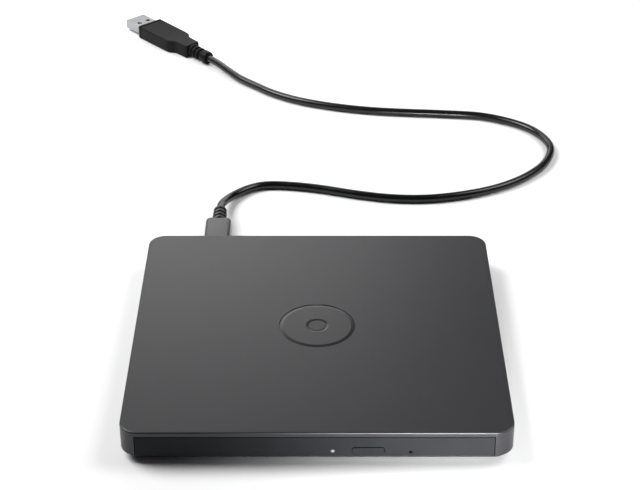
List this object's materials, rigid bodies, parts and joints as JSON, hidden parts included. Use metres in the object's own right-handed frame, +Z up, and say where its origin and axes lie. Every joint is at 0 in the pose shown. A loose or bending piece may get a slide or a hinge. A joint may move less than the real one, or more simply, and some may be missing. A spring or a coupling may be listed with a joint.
{
  "type": "external optical drive",
  "caption": "Flat square external disc drive with rounded corners, a sliding front tray and a USB cable plugged in at the rear.",
  "frame": {"origin": "middle of the base, on the surface that the feet rest on", "axes": "+X to the right seen from the tray side, +Y to the rear, +Z up; the tray slides out towards -Y"},
  "size_m": [0.2222, 0.3905, 0.014],
  "materials": {
    "satin_charcoal": "satin",
    "front_charcoal": "satin",
    "gloss_inlay": "gloss",
    "pan_black": "fine grain",
    "rubber": "matt",
    "steel_sheet": "zinc plated",
    "steel_bright": "polished",
    "screw_steel": "blackened",
    "label": "blank film",
    "foam": "open-cell foam",
    "guide_plastic": "moulded",
    "pcb": "solder mask",
    "chip": "epoxy",
    "connector": "moulded",
    "flex": "polyimide film",
    "cable_jacket": "satin",
    "plug_moulding": "moulded",
    "tongue": "moulded",
    "tray_plastic": "moulded",
    "clear": "clear",
    "copper": "wound wire",
    "white_plastic": "acetal",
    "laser_gold": "plated",
    "sled_metal": "die cast"
  },
  "bodies": {
    "case": {"top_cover": "satin_charcoal", "emblem_inlay": "gloss_inlay", "bottom_cover": "pan_black", "rubber_feet": "rubber", "case_screws": "screw_steel", "rating_label": "label", "foam_pads": "foam", "drive_chassis": "steel_sheet", "drive_top_plate": "steel_sheet", "side_screws": "screw_steel", "left_rail_guide": "guide_plastic", "right_rail_guide": "guide_plastic", "latch_pin": "steel_bright", "rear_board": "pcb", "sata_plug": "connector", "sata_receptacle": "connector", "bridge_board": "pcb", "bridge_parts": "chip", "usb_receptacle": "steel_bright", "flex_cable": "flex", "usb_cable": "cable_jacket", "micro_plug_moulding": "plug_moulding", "micro_plug_shell": "steel_bright", "usb_a_moulding": "plug_moulding", "usb_a_shell": "steel_bright", "usb_a_tongue": "tongue"},
    "tray": {"tray": "tray_plastic", "tray_bezel": "front_charcoal", "tray_shield": "steel_sheet", "tray_screws": "screw_steel", "tray_board": "pcb", "tray_board_parts": "chip", "tact_switch": "connector", "light_pipe": "clear", "traverse_frame": "steel_sheet", "dampers": "rubber", "damper_screws": "steel_bright", "guide_rods": "steel_bright", "feed_motor": "steel_sheet", "spindle_stator": "copper", "latch_solenoid": "copper", "eject_spring": "steel_bright"},
    "left_rail": {"left_rail": "steel_bright"},
    "right_rail": {"right_rail": "steel_bright"},
    "spindle": {"rotor": "steel_bright", "turntable": "guide_plastic", "turntable_mat": "rubber"},
    "pawl_a": {"clamp_pawl_a": "white_plastic"},
    "pawl_b": {"clamp_pawl_b": "white_plastic"},
    "pawl_c": {"clamp_pawl_c": "white_plastic"},
    "sled": {"sled_body": "sled_metal", "laser_package": "laser_gold"},
    "lens": {"lens_holder": "connector", "lens": "clear"},
    "lead_screw": {"lead_screw": "steel_bright"},
    "eject_button": {"eject_button": "front_charcoal"},
    "latch_hook": {"latch_hook": "white_plastic"},
    "solenoid_plunger": {"solenoid_plunger": "screw_steel"},
    "release_slider": {"release_slider": "white_plastic"},
    "eject_plunger": {"eject_plunger": "white_plastic"}
  },
  "joints": [
    {"name": "tray_slide", "type": "slide", "parent": "case", "child": "tray", "axis": [0, -1, 0], "range_m": [0, 0.126], "deforming": ["flex_cable"]},
    {"name": "left_rail_slide", "type": "slide", "parent": "case", "child": "left_rail", "axis": [0, -1, 0], "range_m": [0, 0.063]},
    {"name": "right_rail_slide", "type": "slide", "parent": "case", "child": "right_rail", "axis": [0, -1, 0], "range_m": [0, 0.063]},
    {"name": "spindle_turn", "type": "hinge", "parent": "tray", "child": "spindle", "pos_m": [-0.00085, -0.004, 0.0089], "axis": [0, 0, 1], "continuous": true},
    {"name": "pawl_a_press", "type": "slide", "parent": "spindle", "child": "pawl_a", "axis": [-0.7071, -0.7071, 0], "range_m": [-0.0005, 0], "stiffness_N_per_m": 200},
    {"name": "pawl_b_press", "type": "slide", "parent": "spindle", "child": "pawl_b", "axis": [0.9659, -0.2588, 0], "range_m": [-0.0005, 0], "stiffness_N_per_m": 200},
    {"name": "pawl_c_press", "type": "slide", "parent": "spindle", "child": "pawl_c", "axis": [-0.2588, 0.9659, 0], "range_m": [-0.0005, 0], "stiffness_N_per_m": 200},
    {"name": "sled_slide", "type": "slide", "parent": "tray", "child": "sled", "axis": [-0.7071, -0.7071, 0], "range_m": [0, 0.033]},
    {"name": "lead_screw_turn", "type": "hinge", "parent": "tray", "child": "lead_screw", "pos_m": [-0.01393, -0.04749, 0.0053], "axis": [-0.7071, -0.7071, 0], "range_deg": [0, 3965]},
    {"name": "lens_focus", "type": "slide", "parent": "sled", "child": "lens", "axis": [0, 0, 1], "range_m": [-0.0003, 0.0003], "stiffness_N_per_m": 10},
    {"name": "button_push", "type": "slide", "parent": "tray", "child": "eject_button", "axis": [0, 1, 0], "range_m": [0, 0.0005], "stiffness_N_per_m": 300},
    {"name": "latch_turn", "type": "hinge", "parent": "tray", "child": "latch_hook", "pos_m": [0.0525, -0.054, 0.006], "axis": [0, 0, -1], "range_deg": [0, 14]},
    {"name": "solenoid_pull", "type": "slide", "parent": "tray", "child": "solenoid_plunger", "axis": [1, 0, 0], "range_m": [0, 0.000977]},
    {"name": "release_push", "type": "slide", "parent": "tray", "child": "release_slider", "axis": [0, 1, 0], "range_m": [0, 0.003], "stiffness_N_per_m": 60},
    {"name": "ejector_push", "type": "slide", "parent": "tray", "child": "eject_plunger", "axis": [0, 1, 0], "range_m": [0, 0.01], "deforming": ["eject_spring"]}
  ],
  "couplings": [
    {"joint": "left_rail_slide", "follows": "tray_slide", "ratio": 0.5},
    {"joint": "right_rail_slide", "follows": "tray_slide", "ratio": 0.5},
    {"joint": "ejector_push", "follows": "tray_slide", "ratio": 0.078571},
    {"joint": "lead_screw_turn", "follows": "sled_slide", "rad_per_m": 2094.4},
    {"joint": "latch_turn", "follows": "solenoid_pull", "rad_per_m": 250}
  ]
}
